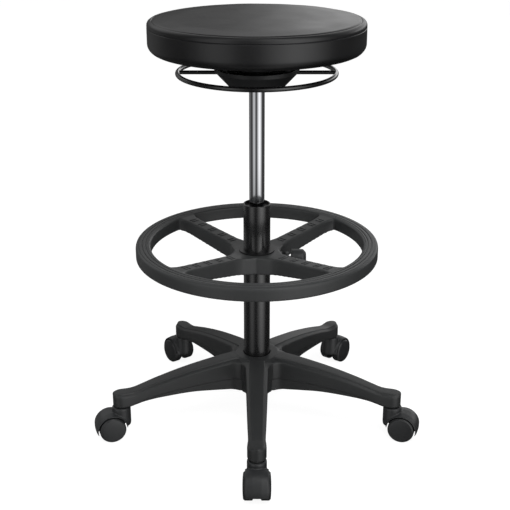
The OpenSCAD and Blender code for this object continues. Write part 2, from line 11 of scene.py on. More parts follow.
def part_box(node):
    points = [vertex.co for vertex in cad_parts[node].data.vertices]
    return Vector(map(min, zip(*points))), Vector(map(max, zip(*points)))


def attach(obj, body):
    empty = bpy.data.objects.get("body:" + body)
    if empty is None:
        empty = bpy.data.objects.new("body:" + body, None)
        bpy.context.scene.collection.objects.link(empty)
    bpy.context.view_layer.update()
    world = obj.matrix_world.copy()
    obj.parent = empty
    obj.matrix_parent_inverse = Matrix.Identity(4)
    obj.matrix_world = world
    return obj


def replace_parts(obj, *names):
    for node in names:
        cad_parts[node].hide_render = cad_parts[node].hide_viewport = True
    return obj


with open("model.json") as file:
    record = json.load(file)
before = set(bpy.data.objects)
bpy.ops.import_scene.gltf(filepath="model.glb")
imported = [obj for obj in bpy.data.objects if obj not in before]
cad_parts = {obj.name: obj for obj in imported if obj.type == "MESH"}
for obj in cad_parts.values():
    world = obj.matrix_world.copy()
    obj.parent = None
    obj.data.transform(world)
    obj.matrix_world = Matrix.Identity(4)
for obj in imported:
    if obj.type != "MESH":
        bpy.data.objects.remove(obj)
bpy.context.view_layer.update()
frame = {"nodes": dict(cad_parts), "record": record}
MM = 0.001
FULL_TURN = 2 * math.pi

# ---------- places taken from the frame ----------

seat_low, seat_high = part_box("seat_cover")
board_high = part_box("seat_board")[1]
foot_low, foot_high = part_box("foot_ring")
bush_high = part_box("column_bushes")[1]
tube_low, tube_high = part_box("outer_tube")
chrome_low, chrome_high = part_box("pressure_tube")
ring_low, ring_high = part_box("release_ring")
knob_low, knob_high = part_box("clamp_knob")
nut_low, nut_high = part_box("clamp_nut")
stem_low, stem_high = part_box("front_stem")
axle_low, axle_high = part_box("front_axle")
hood_low, hood_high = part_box("front_hood")

SEAT_R = seat_high.x
BOARD_R = board_high.x
COLUMN_R = tube_high.x
CHROME_R = chrome_high.x
FOOT_R = foot_high.x
RELEASE_Z = (ring_low.z + ring_high.z) / 2
CLAMP_Z = (knob_low.z + knob_high.z) / 2
STEM_CIRCLE = -(stem_low.y + stem_high.y) / 2
AXLE_Z = (axle_low.z + axle_high.z) / 2
TRAIL = -(axle_low.y + axle_high.y) / 2 - STEM_CIRCLE
ARMS = ["front", "right", "rear_right", "rear_left", "left"]
ARM_ANGLES = {arm: math.radians(-90 + 72 * i) for i, arm in enumerate(ARMS)}
SPOKE_ANGLES = [math.radians(45 + 90 * i) for i in range(4)]

# ---------- materials ----------


def linear(code):
    """A colour given as sRGB hex, in the linear values that shaders take."""
    parts = [int(code[i:i + 2], 16) / 255 for i in (1, 3, 5)]
    return [c / 12.92 if c <= 0.04045 else ((c + 0.055) / 1.055) ** 2.4 for c in parts] + [1.0]


def add(mat, kind, settings=None, links=None):
    """Adds a node. Settings are its properties or sockets' values; links feed its sockets."""
    node = mat.node_tree.nodes.new(kind)
    for key, value in (settings or {}).items():
        if isinstance(key, str) and hasattr(node, key):
            setattr(node, key, value)
        else:
            node.inputs[key].default_value = value
    for key, source in (links or {}).items():
        mat.node_tree.links.new(source, node.inputs[key])
    return node


def new_material(name, roughness, metallic=0.0, **sockets):
    """A material with its shader, and the object coordinates that its patterns read."""
    mat = bpy.data.materials.new(name)
    mat.use_nodes = True
    shader = mat.node_tree.nodes["Principled BSDF"]
    shader.inputs["Roughness"].default_value = roughness
    shader.inputs["Metallic"].default_value = metallic
    for key, value in sockets.items():
        shader.inputs[key.replace("_", " ")].default_value = value
    place = add(mat, "ShaderNodeTexCoord").outputs["Object"]
    return mat, shader, place


def mixed_colour(mat, shader, factor, low, high):
    """The base colour runs from low to high as factor goes from 0 to 1."""
    ramp = add(mat, "ShaderNodeValToRGB", {}, {"Fac": factor})
    ramp.color_ramp.elements[0].color = linear(low)
    ramp.color_ramp.elements[1].color = linear(high)
    mat.node_tree.links.new(ramp.outputs["Color"], shader.inputs["Base Color"])


def varied_roughness(mat, shader, factor, low, high):
    """The roughness runs from low to high as factor goes from 0 to 1."""
    span = add(mat, "ShaderNodeMapRange", {"To Min": low, "To Max": high}, {"Value": factor})
    mat.node_tree.links.new(span.outputs["Result"], shader.inputs["Roughness"])


def bumped(mat, shader, height, strength, depth_mm):
    """The surface is raised by height, at most depth_mm."""
    bump = add(mat, "ShaderNodeBump", {"Strength": strength, "Distance": depth_mm * MM},
               {"Height": height})
    mat.node_tree.links.new(bump.outputs["Normal"], shader.inputs["Normal"])


def per_metre(size_mm):
    """A pattern's scale, from the real size of one of its features."""
    return 1 / (size_mm * MM)


def moulded_nylon(name, dark, light, roughness):
    """Glass-filled nylon from a spark-eroded mould: satin, fine grain and faint flow clouds."""
    mat, shader, place = new_material(name, roughness, IOR=1.53)
    clouds = add(mat, "ShaderNodeTexNoise", {"Scale": per_metre(70), "Detail": 3.0},
                 {"Vector": place})
    # The spark grain is about 0.3 mm; it is drawn at 0.9 mm so that it shows
    grain = add(mat, "ShaderNodeTexNoise", {"Scale": per_metre(0.9), "Detail": 2.0},
                {"Vector": place})
    mixed_colour(mat, shader, clouds.outputs["Fac"], dark, light)
    varied_roughness(mat, shader, grain.outputs["Fac"], roughness - 0.06, roughness + 0.08)
    bumped(mat, shader, grain.outputs["Fac"], 0.35, 0.12)
    return mat


def gloss_enamel(name, colour, roughness):
    """Stoved powder coat on steel: deep gloss with a slight orange peel."""
    mat, shader, place = new_material(name, roughness, IOR=1.55, Coat_Weight=0.9,
                                      Coat_Roughness=0.14)
    shader.inputs["Base Color"].default_value = linear(colour)
    # Orange peel ripples are 2 to 3 mm across
    peel = add(mat, "ShaderNodeTexNoise", {"Scale": per_metre(2.5), "Detail": 1.0},
               {"Vector": place})
    varied_roughness(mat, shader, peel.outputs["Fac"], roughness - 0.03, roughness + 0.05)
    bumped(mat, shader, peel.outputs["Fac"], 0.12, 0.05)
    return mat


def bright_chrome():
    """Polished chrome plate: a mirror with the faintest lengthwise polishing marks."""
    mat, shader, place = new_material("chrome_plate", 0.06, 1.0)
    shader.inputs["Base Color"].default_value = linear("#d9dadd")
    stretched = add(mat, "ShaderNodeMapping", {"Scale": (1.0, 1.0, 0.02)}, {"Vector": place})
    marks = add(mat, "ShaderNodeTexNoise", {"Scale": per_metre(1.2), "Detail": 2.0},
                {"Vector": stretched.outputs["Vector"]})
    varied_roughness(mat, shader, marks.outputs["Fac"], 0.04, 0.10)
    return mat


def zinc_plate():
    """Zinc-plated steel: cool grey with a cloudy bloom."""
    mat, shader, place = new_material("zinc_plate", 0.35, 1.0)
    bloom = add(mat, "ShaderNodeTexNoise", {"Scale": per_metre(4), "Detail": 4.0},
                {"Vector": place})
    mixed_colour(mat, shader, bloom.outputs["Fac"], "#9a9da3", "#c6c8cc")
    varied_roughness(mat, shader, bloom.outputs["Fac"], 0.28, 0.45)
    return mat


def turned_brass():
    """Brass from the lathe, with fine turning rings."""
    mat, shader, place = new_material("turned_brass", 0.28, 1.0)
    shader.inputs["Base Color"].default_value = linear("#c9a25a")
    rings = add(mat, "ShaderNodeTexNoise", {"Scale": per_metre(0.8), "Detail": 1.0},
                {"Vector": place})
    varied_roughness(mat, shader, rings.outputs["Fac"], 0.22, 0.36)
    return mat


def moulded_rubber():
    """Nitrile rubber: matt, slightly dusty."""
    mat, shader, place = new_material("nitrile_rubber", 0.75, IOR=1.52)
    dust = add(mat, "ShaderNodeTexNoise", {"Scale": per_metre(6), "Detail": 4.0}, {"Vector": place})
    mixed_colour(mat, shader, dust.outputs["Fac"], "#161616", "#242424")
    return mat


def seat_vinyl():
    """Upholstery vinyl: leather grain embossed in small cells, soft sheen from its clear skin."""
    mat, shader, place = new_material("black_vinyl", 0.32, IOR=1.6)
    # Grain cells of real vinyl are about 0.8 mm; they are drawn at 1.4 mm so that they show
    cells = add(mat, "ShaderNodeTexVoronoi",
                {"feature": "DISTANCE_TO_EDGE", "Scale": per_metre(1.4)},
                {"Vector": place})
    pores = add(mat, "ShaderNodeTexNoise", {"Scale": per_metre(0.7), "Detail": 3.0},
                {"Vector": place})
    handling = add(mat, "ShaderNodeTexNoise", {"Scale": per_metre(60), "Detail": 3.0},
                   {"Vector": place})
    height = add(mat, "ShaderNodeMath", {"operation": "ADD"},
                 {0: cells.outputs["Distance"], 1: pores.outputs["Fac"]})
    mixed_colour(mat, shader, handling.outputs["Fac"], "#0c0c0d", "#121213")
    varied_roughness(mat, shader, handling.outputs["Fac"], 0.28, 0.38)
    bumped(mat, shader, height.outputs["Value"], 0.22, 0.15)
    return mat


def sewing_thread():
    """Bonded polyester thread: a tight twist with a dull shine."""
    mat, shader, place = new_material("bonded_thread", 0.55, IOR=1.5)
    twist = add(mat, "ShaderNodeTexWave", {"Scale": per_metre(0.9) / 6}, {"Vector": place})
    mixed_colour(mat, shader, twist.outputs["Fac"], "#202022", "#39393c")
    return mat


def birch_plywood():
    """Birch plywood: pale veneers 1.5 mm thick, alternating across the edge."""
    mat, shader, place = new_material("birch_plywood", 0.6, IOR=1.5)
    flat = add(mat, "ShaderNodeMapping", {"Scale": (0.15, 1.0, 6.0)}, {"Vector": place})
    veneer = add(mat, "ShaderNodeTexNoise", {"Scale": per_metre(9), "Detail": 5.0},
                 {"Vector": flat.outputs["Vector"]})
    mixed_colour(mat, shader, veneer.outputs["Fac"], "#b98f5e", "#d9b98a")
    bumped(mat, shader, veneer.outputs["Fac"], 0.2, 0.2)
    return mat


def felted_cloth():
    """Non-woven dust cloth: short matted fibres with point bonds 2 mm apart."""
    mat, shader, place = new_material("dust_cloth_felt", 0.9, IOR=1.45)
    fibres = add(mat, "ShaderNodeTexNoise", {"Scale": per_metre(1.5), "Detail": 6.0},
                 {"Vector": place})
    bonds = add(mat, "ShaderNodeTexVoronoi", {"Scale": per_metre(2)}, {"Vector": place})
    mixed_colour(mat, shader, fibres.outputs["Fac"], "#1d1d1f", "#323236")
    bumped(mat, shader, bonds.outputs["Distance"], 0.4, 0.3)
    return mat


def open_cell_foam():
    """Upholstery foam: cream, with open cells about 1 mm across."""
    mat, shader, place = new_material("open_cell_foam", 0.95, IOR=1.4)
    cells = add(mat, "ShaderNodeTexVoronoi", {"Scale": per_metre(1)}, {"Vector": place})
    mixed_colour(mat, shader, cells.outputs["Distance"], "#b9a878", "#e0d3a8")
    bumped(mat, shader, cells.outputs["Distance"], 0.6, 0.4)
    return mat


FINISHES = {
    "base_nylon": moulded_nylon("base_nylon", "#212223", "#2a2b2b", 0.42),
    "foot_nylon": moulded_nylon("foot_nylon", "#292a2b", "#323333", 0.40),
    "caster_nylon": moulded_nylon("caster_nylon", "#222324", "#2a2b2c", 0.38),
    "wheel_nylon": moulded_nylon("wheel_nylon", "#1c1d1e", "#242526", 0.34),
    "cover_plastic": moulded_nylon("cover_polypropylene", "#151617", "#1c1d1e", 0.44),
    "knob_plastic": moulded_nylon("knob_nylon", "#242526", "#2c2d2e", 0.38),
    "bush_acetal": moulded_nylon("black_acetal", "#0e0e0f", "#141415", 0.34),
    "column_paint": gloss_enamel("gloss_black_column", "#0f0f10", 0.26),
    "ring_paint": gloss_enamel("satin_black_rod", "#0d0d0e", 0.25),
    "black_steel": gloss_enamel("satin_black_plate", "#151516", 0.40),
    "chrome": bright_chrome(),
    "steel": zinc_plate(),
    "brass": turned_brass(),
    "rubber": moulded_rubber(),
    "vinyl": seat_vinyl(),
    "plywood": birch_plywood(),
    "dust_cloth": felted_cloth(),
    "foam": open_cell_foam(),
}
THREAD = sewing_thread()

# ---------- mesh helpers ----------


def finish_piece(bm, name, slot, body, smooth_degrees=35, material=None):
    """The bmesh becomes a piece at the origin, with its finish, riding on a body."""
    bmesh.ops.remove_doubles(bm, verts=bm.verts, dist=0.01 * MM)
    bmesh.ops.recalc_face_normals(bm, faces=bm.faces)
    mesh = bpy.data.meshes.new(name)
    bm.to_mesh(mesh)
    bm.free()
    mesh.shade_smooth()
    mesh.set_sharp_from_angle(angle=math.radians(smooth_degrees))
    mesh.materials.append(material or FINISHES[slot])
    piece = bpy.data.objects.new(name, mesh)
    bpy.context.scene.collection.objects.link(piece)
    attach(piece, body)
    return piece


def rounded(corners, steps=5):
    """An outline through corners of (x, y, radius), each radius above 0 turned into an arc."""
    outline = []
    for i, (x, y, radius) in enumerate(corners):
        here = Vector((x, y))
        if radius <= 0:
            outline.append(here)
            continue
        back = (Vector(corners[i - 1][:2]) - here).normalized()
        ahead = (Vector(corners[(i + 1) % len(corners)][:2]) - here).normalized()
        half = back.angle(ahead) / 2
        centre = here + (back + ahead).normalized() * radius / math.sin(half)
        start = here + back * radius / math.tan(half) - centre
        sweep = start.angle_signed(here + ahead * radius / math.tan(half) - centre)
        for k in range(steps + 1):
            angle = -sweep * k / steps
            turn = Matrix.Rotation(angle, 2)
            outline.append(centre + turn @ start)
    return outline


def turned(bm, outline, segments=96, closed=False):
    """Spins an outline of (radius, height) about Z."""
    verts = [bm.verts.new((p[0], 0, p[1])) for p in outline]
    pairs = list(zip(verts, verts[1:])) + ([(verts[-1], verts[0])] if closed else [])
    edges = [bm.edges.new(pair) for pair in pairs]
    made = bmesh.ops.spin(bm, geom=verts + edges, cent=(0, 0, 0), axis=(0, 0, 1),
                          angle=FULL_TURN, steps=segments, use_merge=True)
    bmesh.ops.remove_doubles(bm, verts=bm.verts, dist=0.01 * MM)
    return made


def lofted(bm, sections):
    """Bridges rings of points, each with the same number, and caps both ends."""
    rings = []
    for points in sections:
        ring = bmesh.ops.create_circle(bm, segments=len(points), radius=1)["verts"]
        for vert, point in zip(ring, points):
            vert.co = point
        rings.append(ring)
    loops = [[e for e in {e for v in ring for e in v.link_edges}] for ring in rings]
    for first, second in zip(loops, loops[1:]):
        bmesh.ops.bridge_loops(bm, edges=first + second)
    bmesh.ops.contextual_create(bm, geom=loops[0])
    bmesh.ops.contextual_create(bm, geom=loops[-1])


def smooth_through(stations, x):
    """Values at x on smooth curves through (x, value...) stations, never swinging past one."""
    last = len(stations) - 1
    i = max(0, min(last - 1, sum(1 for station in stations if station[0] <= x) - 1))
    span = stations[i + 1][0] - stations[i][0]
    t = min(1.0, max(0.0, (x - stations[i][0]) / span))

    def gradient(k, column):
        rise = stations[k + 1][column] - stations[k][column]
        return rise / (stations[k + 1][0] - stations[k][0])

    def tangent(k, column):
        if k in (0, last):
            return gradient(min(k, last - 1), column)
        before, after = gradient(k - 1, column), gradient(k, column)
        return 2 * before * after / (before + after) if before * after > 0 else 0.0

    values = []
    for column in range(1, len(stations[0])):
        rise = stations[i + 1][column] - stations[i][column]
        swing = (tangent(i, column) * (t ** 3 - 2 * t ** 2 + t)
                 + tangent(i + 1, column) * (t ** 3 - t ** 2))
        values.append(stations[i][column] + rise * (3 * t ** 2 - 2 * t ** 3) + span * swing)
    return values


def solid_object(bm, name):
    """A scratch object holding a closed bmesh, for a boolean or a remesh."""
    bmesh.ops.remove_doubles(bm, verts=bm.verts, dist=0.001 * MM)
    bmesh.ops.recalc_face_normals(bm, faces=bm.faces)
    if not all(edge.is_manifold for edge in bm.edges):
        raise ValueError(name + " isn't a closed solid")
    mesh = bpy.data.meshes.new(name)
    bm.to_mesh(mesh)
    bm.free()
    scratch = bpy.data.objects.new(name, mesh)
    bpy.context.scene.collection.objects.link(scratch)
    return scratch


def baked(scratch):
    """A bmesh of a scratch object with its modifiers applied; the object is removed."""
    bpy.context.view_layer.update()
    graph = bpy.context.evaluated_depsgraph_get()
    bm = bmesh.new()
    bm.from_object(scratch, graph)
    bpy.data.objects.remove(scratch)
    return bm


def fused(bm, voxel_mm, rounds):
    """Overlapping solids become one moulding, its corners eased by rounds of smoothing."""
    scratch = solid_object(bm, "scratch_fuse")
    remesh = scratch.modifiers.new("remesh", "REMESH")
    remesh.mode = "VOXEL"
    remesh.voxel_size = voxel_mm * MM
    ease = scratch.modifiers.new("ease", "SMOOTH")
    ease.factor = 0.5
    ease.iterations = rounds
    return baked(scratch)


def combined(bm, other_bm, operation):
    """Two solids joined, or the first less the second."""
    body, other = solid_object(bm, "scratch_body"), solid_object(other_bm, "scratch_other")
    boolean = body.modifiers.new("combine", "BOOLEAN")
    boolean.operation = operation
    boolean.object = other
    boolean.solver = "MANIFOLD"
    result = baked(body)
    bpy.data.objects.remove(other)
    return result


def cut_away(bm, cutter_bm):
    """The first solid less the second."""
    return combined(bm, cutter_bm, "DIFFERENCE")


def rod(bm, start, end, radius, segments=48):
    """A cylinder between two points."""
    start, end = Vector(start), Vector(end)
    upright = (end - start).to_track_quat("Z", "Y").to_matrix().to_4x4()
    matrix = Matrix.Translation((start + end) / 2) @ upright
    bmesh.ops.create_cone(bm, cap_ends=True, segments=segments, radius1=radius, radius2=radius,
                          depth=(end - start).length, matrix=matrix)


def copied(bm, matrix):
    """A moved copy of a bmesh."""
    copy = bm.copy()
    bmesh.ops.transform(copy, matrix=matrix, verts=copy.verts)
    return copy


def merged(parts):
    """Several bmeshes in one."""
    whole = bmesh.new()
    for part in parts:
        mesh = bpy.data.meshes.new("scratch_part")
        part.to_mesh(mesh)
        whole.from_mesh(mesh)
        bpy.data.meshes.remove(mesh)
        part.free()
    return whole


def turn_z(angle):
    """A turn about the column's axis."""
    return Matrix.Rotation(angle, 4, "Z")


# ---------- star base ----------

# Along an arm: distance from the axis, top, ledge on the side, underside, half width, all in mm
ARM_STATIONS = [
    (12, 137, 98, 72, 21.5), (45, 136.5, 98, 72, 21.5), (66, 134.4, 97, 74, 21.5),
    (90, 131, 96, 76, 20.5), (138, 122.6, 92, 79, 19), (199, 108, 84, 76.3, 17),
    (228, 99.5, 78, 72.5, 15.8), (244, 95, 72, 68.6, 15.6), (256, 93.6, 69.5, 66.3, 16.6),
    (268, 93.8, 69, 66, 17), (286, 92.8, 69, 66, 17),
]
ARM_START, ARM_STEP, ARM_STEPS = 12, 4, 64
STRIP_INSET = 6.5
ARM_WALL, ARM_ROOF = 5.5, 12
# The hollows under an arm, between its ribs: where each starts and ends, in mm
ARM_BAYS = [(56, 88), (92, 126), (130, 164), (168, 202), (206, 240)]
TIP_R = 17
TIP_X = STEM_CIRCLE / MM - 2
HALF_BETWEEN_ARMS = math.radians(36)
# The walls of neighbouring arms meet in a fillet of this radius, which ends this far out
ROOT_FILLET_R = 23
ROOT_FILLET_X = (ARM_STATIONS[0][4] + ROOT_FILLET_R) / math.tan(HALF_BETWEEN_ARMS)


def arm_section(x):
    """Points round an arm at x mm from the axis: raised strip, sloping shoulders, ledged walls."""
    top, ledge, under, half = smooth_through(ARM_STATIONS, x)
    past = max(0.0, x - TIP_X)
    half *= math.sqrt(max(0.004, 1 - (past / TIP_R) ** 2))
    strip = max(0.4, half - STRIP_INSET * half / 18)
    into = min(ROOT_FILLET_X - x, ROOT_FILLET_R * math.cos(HALF_BETWEEN_ARMS))
    if into > 0:
        half += ROOT_FILLET_R - math.sqrt(ROOT_FILLET_R ** 2 - into ** 2)
    ledge = min(ledge, top - 12)
    right = rounded([
        (strip * 0.35, top, 0), (strip, top, 1.0), (strip + 1.1, top - 2.2, 0.7),
        (half, top - 5.5, min(4.2, half * 0.22)), (half, ledge, 0.5),
        (half - 1.6, ledge - 2.2, 0.5),
        (half - 1.6, under, min(1.2, half * 0.08)), (half * 0.3, under, 0),
    ], 4)
    left = [Vector((-p.x, p.y)) for p in reversed(right)]
    return [Vector((x, p.x, p.y)) * MM for p in right + left]


def arm_bay(start, end):
    """The hollow between two ribs under an arm, open below."""
    bm = bmesh.new()
    sections = []
    for i in range(7):
        x = start + (end - start) * i / 6
        top, _, under, half = smooth_through(ARM_STATIONS, x)
        wide, roof, floor = half - ARM_WALL, top - ARM_ROOF, under - 12
        outline = rounded([(wide, roof, 2), (wide, floor, 0), (-wide, floor, 0),
                           (-wide, roof, 2)], 3)
        sections.append([Vector((x, p.x, p.y)) * MM for p in outline])
    lofted(bm, sections)
    return bm


def moulded_base():
    """The hub with its five arms, hollowed between the ribs and bored for the column and stems."""
    shell = bmesh.new()
    turned(shell, rounded([(0, 0.072, 0), (0.050, 0.072, 0.002), (0.050, 0.1285, 0.006),
                           (0.041, 0.137, 0.004), (0, 0.137, 0)]))
    straight = [ARM_START + ARM_STEP * i for i in range(ARM_STEPS)]
    tip = [TIP_X + TIP_R * math.sin(math.radians(a)) for a in range(4, 89, 6)]
    for angle in ARM_ANGLES.values():
        arm = bmesh.new()
        lofted(arm, [arm_section(x) for x in straight + [TIP_X] + tip])
        shell = combined(shell, copied(arm, turn_z(angle)), "UNION")
    bays = []
    for angle in ARM_ANGLES.values():
        for start, end in ARM_BAYS:
            bays.append(copied(arm_bay(start, end), turn_z(angle)))
        socket = bmesh.new()
        where = turn_z(angle) @ Vector((STEM_CIRCLE, 0, 0))
        rod(socket, where + Vector((0, 0, 0.050)), where + Vector((0, 0, stem_high.z + 0.001)),
            5.6 * MM)
        bays.append(socket)
    bore = bmesh.new()
    turned(bore, [(0, 0.060), (0.0241, 0.060), (0.0241, 0.074), (0.02505, 0.130), (0.0265, 0.1375),
                  (0.0265, 0.145), (0, 0.145)])
    bays.append(bore)
    piece = finish_piece(cut_away(shell, merged(bays)), "moulded_star_base", "base_nylon",
                         "base", 38)
    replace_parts(piece, "star_base")


# ---------- foot ring ----------

RING_IN = FOOT_R - 28 * MM
RING_TOP = foot_high.z
RING_LOW = RING_TOP - 25 * MM
RIM_WALL = 4.5 * MM
# The grooved band sits in a bed between these radii, sunk this far
TREAD_IN, TREAD_OUT = RING_IN + 5 * MM, RING_IN + 22.6 * MM
TREAD_SINK = 1.2 * MM
HUB_TOP = bush_high.z - 2.1 * MM
HUB_LOW = foot_low.z
HUB_R = 42 * MM
# Along a spoke: distance from the axis and half width, flared at both ends, in mm
SPOKE_STATIONS = [(28, 31), (42, 23), (56, 16.5), (74, 14.5), (172, 14), (186, 15.5), (195, 19),
                  (201, 24)]
# A spoke rises from the hub to the rim over this stretch, in mm
SPOKE_RISE_START, SPOKE_RISE_RUN = 42, 157
TREAD_BARS = (64, 71, 92, 99, 120, 127, 148, 155, 172, 179)


def spoke_rise(x):
    """How far a spoke has risen at x mm from the axis: 0 at the hub, 1 at the rim."""
    return min(1.0, max(0.0, (x - SPOKE_RISE_START) / SPOKE_RISE_RUN))


def spoke_top(x):
    """The height of a spoke's top face at x mm from the axis."""
    return HUB_TOP + (RING_TOP - TREAD_SINK - HUB_TOP) * spoke_rise(x)


def spoke_section(x, inset, drop, rise):
    """Points round a spoke at x mm from the axis; it dips from the rim to the hub."""
    half = smooth_through(SPOKE_STATIONS, x)[0] - inset
    top = spoke_top(x) / MM - drop
    low = (HUB_LOW + (RING_LOW - HUB_LOW) * spoke_rise(x)) / MM - rise
    corner = 1.8 if inset == 0 else 0.6
    outline = rounded([(half, low, 0.6), (half, top, corner), (-half, top, corner),
                       (-half, low, 0.6)], 3)
    return [Vector((x, p.x, p.y)) * MM for p in outline]


def moulded_foot_ring():
    """The rim, open below, with four hollow spokes, the hub and the boss for the clamp."""
    parts, hollows = [], []
    rim = bmesh.new()
    turned(rim, rounded([
        (RING_IN, RING_LOW, 0.0008), (RING_IN, RING_TOP, 0.0040), (FOOT_R, RING_TOP, 0.0045),
        (FOOT_R, RING_LOW, 0.0010), (FOOT_R - RIM_WALL, RING_LOW, 0.0006),
        (FOOT_R - RIM_WALL, RING_TOP - 0.0055, 0.001),
        (RING_IN + RIM_WALL, RING_TOP - 0.0055, 0.001),
        (RING_IN + RIM_WALL, RING_LOW, 0.0006),
    ]), 192, closed=True)
    parts.append(rim)
    for angle in SPOKE_ANGLES:
        spoke, hollow = bmesh.new(), bmesh.new()
        lofted(spoke, [spoke_section(28 + 173 * i / 40, 0, 0, 0) for i in range(41)])
        lofted(hollow, [spoke_section(48 + 142 * i / 30, 4.5, 5, 30) for i in range(31)])
        for bm in (spoke, hollow):
            bmesh.ops.transform(bm, matrix=turn_z(angle), verts=bm.verts)
        parts.append(spoke)
        hollows.append(hollow)
    hub = bmesh.new()
    turned(hub, rounded([(0, HUB_LOW, 0), (HUB_R, HUB_LOW, 0.0012), (HUB_R, HUB_TOP, 0.0025),
                         (0, HUB_TOP, 0)]))
    boss = bmesh.new()
    rod(boss, (0.033, 0, CLAMP_Z), (0.060, 0, CLAMP_Z), 12 * MM)
    shell = fused(merged(parts + [hub, boss]), 1.8, 4)
    bore = bmesh.new()
    rod(bore, (0, 0, HUB_LOW - 0.01), (0, 0, HUB_TOP + 0.01), 29.05 * MM, 96)
    stud_hole = bmesh.new()
    rod(stud_hole, (0.020, 0, CLAMP_Z), (0.070, 0, CLAMP_Z), 4.1 * MM)
    slot = bmesh.new()
    size = (nut_high.x - nut_low.x + 0.0006, nut_high.y - nut_low.y + 0.0006, 0.024)
    middle = ((nut_low.x + nut_high.x) / 2, 0, nut_low.z + size[2] / 2 - 0.0002)
    bmesh.ops.create_cube(slot, size=1,
                          matrix=Matrix.Translation(middle) @ Matrix.Diagonal((*size, 1)))
    bed = bmesh.new()
    turned(bed, [(TREAD_IN, RING_TOP - TREAD_SINK), (TREAD_OUT, RING_TOP - TREAD_SINK),
                 (TREAD_OUT, RING_TOP + 3 * MM), (TREAD_IN, RING_TOP + 3 * MM)], 192, closed=True)
    for cutter in (merged(hollows + [bore]), stud_hole, slot, bed):
        shell = cut_away(shell, cutter)
    piece = finish_piece(shell, "moulded_foot_ring", "foot_nylon", "foot_ring", 50)
    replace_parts(piece, "foot_ring")


def tread_ribs():
    """A grooved band round the top of the rim, and pairs of raised bars across each spoke."""
    bm = bmesh.new()
    crest, floor = RING_TOP + 0.35 * MM, RING_TOP - 0.8 * MM
    outline = [(TREAD_IN, floor, 0)]
    for start, end in ((5.2, 8.6), (9.8, 15.4), (16.6, 22.4)):
        outline += [(RING_IN + start * MM, floor, 0),
                    (RING_IN + (start + 0.35) * MM, crest, 0.0003),
                    (RING_IN + (end - 0.35) * MM, crest, 0.0003), (RING_IN + end * MM, floor, 0)]
    outline += [(TREAD_OUT, floor, 0), (TREAD_OUT, RING_TOP - 2 * MM, 0),
                (TREAD_IN, RING_TOP - 2 * MM, 0)]
    turned(bm, rounded(outline, 2), 192, closed=True)
    for angle in SPOKE_ANGLES:
        for x in TREAD_BARS:
            bar = bmesh.new()
            slope = Matrix.Rotation(-math.atan2(RING_TOP - HUB_TOP, SPOKE_RISE_RUN * MM), 4, "Y")
            bmesh.ops.create_cube(bar, size=1,
                                  matrix=Matrix.Diagonal((3.6 * MM, 15 * MM, 2.4 * MM, 1)))
            bmesh.ops.bevel(bar, geom=bar.edges[:], offset=0.6 * MM, affect="EDGES", segments=2,
                            profile=0.5, material=-1)
            place = turn_z(angle) @ Matrix.Translation((x * MM, 0, spoke_top(x) - 0.2 * MM)) @ slope
            bmesh.ops.transform(bar, matrix=place, verts=bar.verts)
            bm = merged([bm, bar])
    finish_piece(bm, "foot_ring_treads", "foot_nylon", "foot_ring")


# ---------- casters ----------


NECK_R = 17.5 * MM
WHEEL_WELL_R = 27.5 * MM


def hood_shape():
    """One hood about its stem, trailing along X: crowned fender, swivel neck, web for the axle."""
    axle = Vector((TRAIL, 0, AXLE_Z))
    barrel = bmesh.new()
    turned(barrel, rounded([(0, -0.021, 0), (0.0286, -0.021, 0.0025), (0.0302, -0.008, 0.004),
                            (0.0302, 0.008, 0.004), (0.0286, 0.021, 0.0025), (0, 0.021, 0)]))
    lay_down = Matrix.Translation(axle) @ Matrix.Rotation(math.radians(-90), 4, "X")
    bmesh.ops.transform(barrel, matrix=lay_down, verts=barrel.verts)
    neck = bmesh.new()
    turned(neck, rounded([(0, 0.022, 0), (0.0160, 0.022, 0.004), (NECK_R, 0.031, 0.006),
                          (NECK_R, hood_high.z, 0.0034), (0, hood_high.z, 0)]))
    body = fused(merged([barrel, neck]), 0.9, 3)
    for reach, height in ((0.090, hood_low.z), (TRAIL - 0.019, 0.0265)):
        below = bmesh.new()
        bmesh.ops.create_cube(below, size=1,
                              matrix=Matrix.Translation((reach - 0.05, 0, height - 0.03))
                              @ Matrix.Diagonal((0.10, 0.10, 0.06, 1)))
        body = cut_away(body, below)
    wells = []
    for side in (-1, 1):
        well = bmesh.new()
        rod(well, axle + Vector((0, side * 0.003, 0)), axle + Vector((0, side * 0.04, 0)),
            WHEEL_WELL_R, 96)
        wells.append(well)
    return cut_away(body, merged(wells))


def wheel_shape(side):
    """One wheel about its hood's stem: rounded tread and a plain, slightly domed face."""
    bm = bmesh.new()
    turned(bm, rounded([
        (0.0031, 0.0070, 0), (0.0240, 0.0070, 0.0008), (0.0250, 0.0085, 0.0006),
        (0.0250, 0.0210, 0.0026),
        (0.0225, 0.0238, 0.0012), (0.0150, 0.0246, 0), (0.0080, 0.0249, 0), (0, 0.0250, 0),
    ], 4), 96)
    face = Matrix.Rotation(math.radians(-90), 4, "X")
    if side < 0:
        face = Matrix.Rotation(math.radians(180), 4, "Z") @ face
    bmesh.ops.transform(bm, matrix=Matrix.Translation((TRAIL, 0, AXLE_Z)) @ face, verts=bm.verts)
    return bm


def casters():
    """A hood and two wheels at the tip of each arm."""
    hood = hood_shape()
    for arm, angle in ARM_ANGLES.items():
        place = turn_z(angle) @ Matrix.Translation((STEM_CIRCLE, 0, 0))
        piece = finish_piece(copied(hood, place), f"{arm}_caster_hood", "caster_nylon",
                             f"{arm}_caster", 45)
        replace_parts(piece, f"{arm}_hood")
        for side, word in ((-1, "left"), (1, "right")):
            piece = finish_piece(copied(wheel_shape(side), place), f"{arm}_{word}_caster_wheel",
                                 "wheel_nylon", f"{arm}_{word}_wheel")
            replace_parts(piece, f"{arm}_{word}_wheel")
    hood.free()


# ---------- tubes, ring and knob ----------


